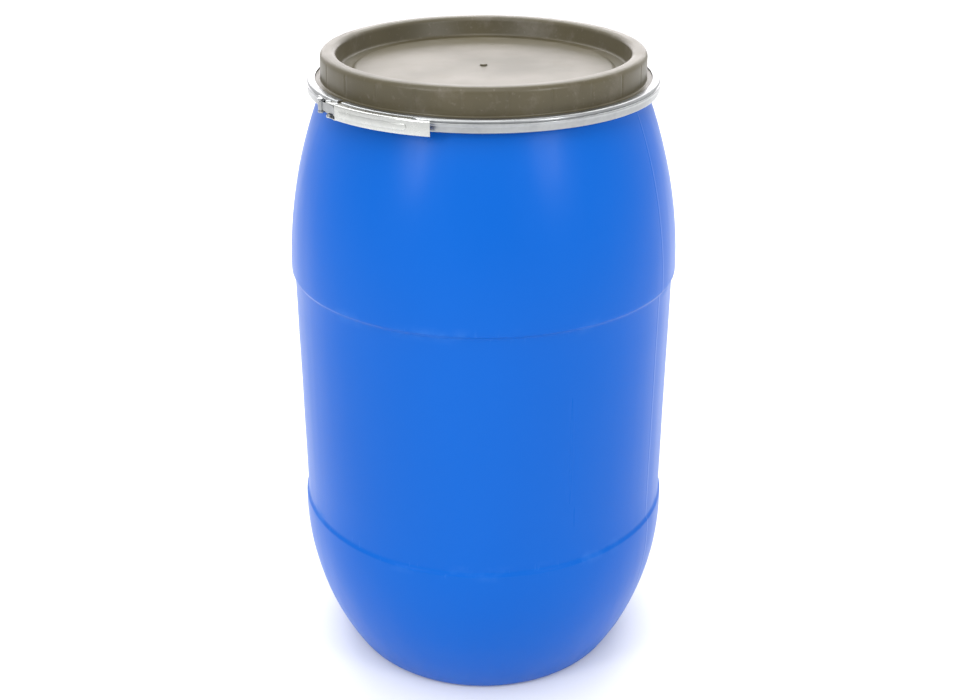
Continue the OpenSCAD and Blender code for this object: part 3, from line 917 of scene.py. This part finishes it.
# %% [markdown]
# ## The lever
#
# The lever is a strip folded into a channel and then rolled to the ring's radius. It is modelled in that
# order: a straight channel first, where cuts and bends are square and easy, and then every point is
# carried round the drum. Its outline is worked in flat coordinates, with x along the ring from the pivot,
# y outwards and z up.

# %% Lever sizes
lever_low, lever_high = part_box("lever")
LEVER_MID_Z = (lever_low.z + lever_high.z) / 2
LEVER_T = 0.0015
LEVER_H = 0.0217
PIVOT_AT = SPLIT_AT - math.degrees(0.002 / PIVOT_R)
LEVER_L = 0.172
TAB_L = 0.026
ARM = 0.016
OUT_Y = 0.0058
IN_Y = -0.0048
EAR_R = 0.0048
PIVOT_HOLE_R = 0.00255
print("lever from", round(PIVOT_AT, 2), "to", round(PIVOT_AT + math.degrees(LEVER_L / PIVOT_R), 2), "degrees")

# %% Bars and booleans
def post(x, radius, z0, z1):
    """An upright round bar on the lever's flat line."""
    select_none()
    bpy.ops.mesh.primitive_cylinder_add(vertices=40, radius=radius, depth=z1 - z0,
                                        location=(x, 0, (z0 + z1) / 2))
    made = bpy.context.object
    bpy.ops.object.transform_apply(location=True, rotation=True, scale=True)
    return made


def combine(target, tool, operation):
    """Joins the tool to the target or cuts it out, and removes it."""
    apply_modifier(target, "BOOLEAN", object=tool, operation=operation, solver="EXACT")
    bpy.data.objects.remove(tool, do_unlink=True)


# %% Lever channel
FOLD_ROUND = 0.0022
WEB_FROM_X = ARM + 0.004
NOTCH_Y = 0.0028
CLEAR = 0.01
REACH = 0.02
half_h = LEVER_H / 2
inside_h = half_h - LEVER_T
web_y = OUT_Y - LEVER_T

lever = block(0, LEVER_L, IN_Y, OUT_Y, -half_h, half_h)
lever.name = lever.data.name = "lever_channel"
bevel_edges(lever, lambda a, b: min(a.y, b.y) > OUT_Y - 1e-5 and abs(a.x - b.x) > LEVER_L / 2, FOLD_ROUND, 4)
channel = block(-CLEAR, LEVER_L + CLEAR, IN_Y - CLEAR, web_y, -inside_h, inside_h)
tab_cut = block(LEVER_L - TAB_L, LEVER_L + CLEAR, IN_Y - CLEAR, web_y, -REACH, REACH)
web_cut = block(-CLEAR, WEB_FROM_X, NOTCH_Y, OUT_Y + CLEAR, -inside_h, inside_h)
for cut in (channel, tab_cut, web_cut):
    combine(lever, cut, "DIFFERENCE")
for low in (-half_h, inside_h):
    combine(lever, post(0, EAR_R, low, low + LEVER_T), "UNION")
for x in (0, ARM):
    combine(lever, post(x, PIVOT_HOLE_R, -REACH, REACH), "DIFFERENCE")
print("lever channel:", len(lever.data.polygons), "faces")

# %% [markdown]
# ### The pressed rib
#
# A long rib with round ends is pressed into the web to stiffen it. It starts as a bar. Its four corners
# are bevelled until its ends are round, its outer edges are softened, and it is joined to the web.

# %% Rib
RIB_OUT = 0.0011
RIB_SOFT = 0.0009
RIB_FROM_X, RIB_TO_X = ARM + 0.012, LEVER_L - TAB_L - 0.006
TAB_ROUND = 0.002
THROUGH_SHEET = 0.001
rib_half = LEVER_H * 0.2


def at_tab_end(a, b):
    """True for the edges at the tab's free end that run through the sheet's thickness."""
    return abs(a.y - b.y) > THROUGH_SHEET and a.x > LEVER_L - 1e-4 and abs(a.x - b.x) < 1e-6


rib = block(RIB_FROM_X, RIB_TO_X, OUT_Y - LEVER_T * 0.8, OUT_Y + RIB_OUT, -rib_half, rib_half)
bevel_edges(rib, lambda a, b: abs(a.y - b.y) > THROUGH_SHEET, rib_half * 0.98, 8)
bevel_edges(rib, lambda a, b: min(a.y, b.y) > OUT_Y + RIB_OUT - 1e-4, RIB_SOFT, 3)
combine(lever, rib, "UNION")
bevel_edges(lever, at_tab_end, TAB_ROUND, 4)
print("with rib:", len(lever.data.polygons), "faces")

# %% Roll the lever to the ring
LEVER_ROWS = 64
CUT_EDGE = 0.0002

edit(lever)
for k in range(1, LEVER_ROWS):
    bpy.ops.mesh.select_all(action="SELECT")
    bpy.ops.mesh.bisect(plane_co=(LEVER_L * k / LEVER_ROWS, 0, 0), plane_no=(1, 0, 0))
done()
for vertex in lever.data.vertices:
    x, y, z = vertex.co
    vertex.co = round_the_drum(PIVOT_R + y, PIVOT_AT + math.degrees(x / PIVOT_R), LEVER_MID_Z + z)
apply_modifier(lever, "BEVEL", width=CUT_EDGE, segments=2, limit_method="ANGLE",
               angle_limit=math.radians(50))
settle(lever)

# %% Lever finish
bright_zinc = galvanised("galvanised_lever", crystal=260, shine=0.26,
                         light=BRIGHT_ZINC_LIGHT, dark=BRIGHT_ZINC_DARK)
lever.data.materials.append(bright_zinc)
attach(lever, "lever")
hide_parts("lever")

# %% [markdown]
# ## Small hardware
#
# The brackets, the link and the rivets keep their CAD shape. They get the sheet metal, or a smoother zinc
# plating on the rivets, and the gasket gets its rubber.

# %% CAD nodes
plating = galvanised("zinc_plating", crystal=900, shine=0.3)
rubber = gasket_rubber()
NODE_FINISH = {
    "fulcrum_bracket": zinc, "anchor_bracket": zinc, "link_strap": zinc, "lid_gasket": rubber,
    "fulcrum_bracket_rivets": plating, "anchor_bracket_rivets": plating, "fulcrum_rivets": plating,
    "link_rivet": plating, "anchor_pin": plating, "anchor_rivet_heads": plating,
}
for name, material in NODE_FINISH.items():
    node_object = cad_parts[name]
    node_object.data.materials.clear()
    node_object.data.materials.append(material)
print("CAD nodes finished:", len(NODE_FINISH))
